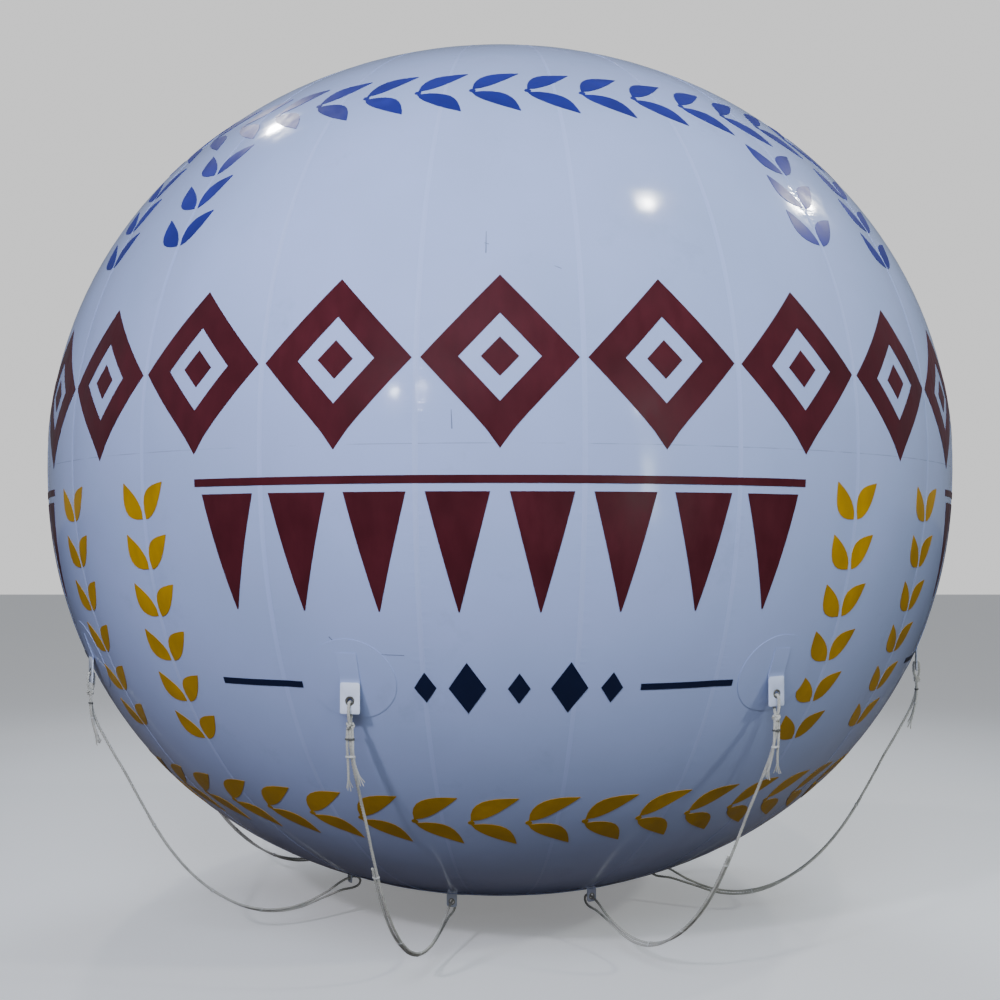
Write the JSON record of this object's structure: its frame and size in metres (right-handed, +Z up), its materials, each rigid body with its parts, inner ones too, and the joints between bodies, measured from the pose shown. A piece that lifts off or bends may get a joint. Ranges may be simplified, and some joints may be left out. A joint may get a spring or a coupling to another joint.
{
  "type": "advertising sky balloon",
  "caption": "Helium advertising balloon of white PVC gores with pole caps, round tether patches, hanging eyed tabs, slack ropes and a filling valve below.",
  "frame": {"origin": "on the balloon's vertical axis at the height of its equator", "axes": "+Z up, -Y to the front seen in the picture, +X to the right in it"},
  "size_m": [3.66, 3.66, 3.4396],
  "materials": {
    "pvc_film": "glossy",
    "rope": "matte",
    "valve_plastic": "satin"
  },
  "bodies": {
    "envelope": {"gore_01": "pvc_film", "gore_02": "pvc_film", "gore_03": "pvc_film", "gore_04": "pvc_film", "gore_05": "pvc_film", "gore_06": "pvc_film", "gore_07": "pvc_film", "gore_08": "pvc_film", "gore_09": "pvc_film", "gore_10": "pvc_film", "gore_11": "pvc_film", "gore_12": "pvc_film", "gore_13": "pvc_film", "gore_14": "pvc_film", "gore_15": "pvc_film", "gore_16": "pvc_film", "gore_17": "pvc_film", "gore_18": "pvc_film", "gore_19": "pvc_film", "gore_20": "pvc_film", "gore_21": "pvc_film", "gore_22": "pvc_film", "gore_23": "pvc_film", "gore_24": "pvc_film", "top_cap": "pvc_film", "bottom_cap": "pvc_film", "tether_tab_1": "pvc_film", "tether_tab_2": "pvc_film", "tether_tab_3": "pvc_film", "tether_tab_4": "pvc_film", "tether_tab_5": "pvc_film", "tether_tab_6": "pvc_film", "tether_tab_7": "pvc_film", "tether_tab_8": "pvc_film", "rope_hitch_1": "rope", "rope_hitch_2": "rope", "rope_hitch_3": "rope", "rope_hitch_4": "rope", "rope_hitch_5": "rope", "rope_hitch_6": "rope", "rope_hitch_7": "rope", "rope_hitch_8": "rope", "rope_1": "rope", "rope_2": "rope", "rope_3": "rope", "rope_4": "rope", "rope_5": "rope", "rope_6": "rope", "rope_7": "rope", "rope_8": "rope", "valve_body": "valve_plastic"},
    "valve_lid": {"valve_lid": "valve_plastic"}
  },
  "joints": [
    {"name": "valve_lid_hinge", "type": "hinge", "parent": "envelope", "child": "valve_lid", "pos_m": [0, 0.062, -1.7456], "axis": [1, 0, 0], "range_deg": [0, 110]}
  ]
}
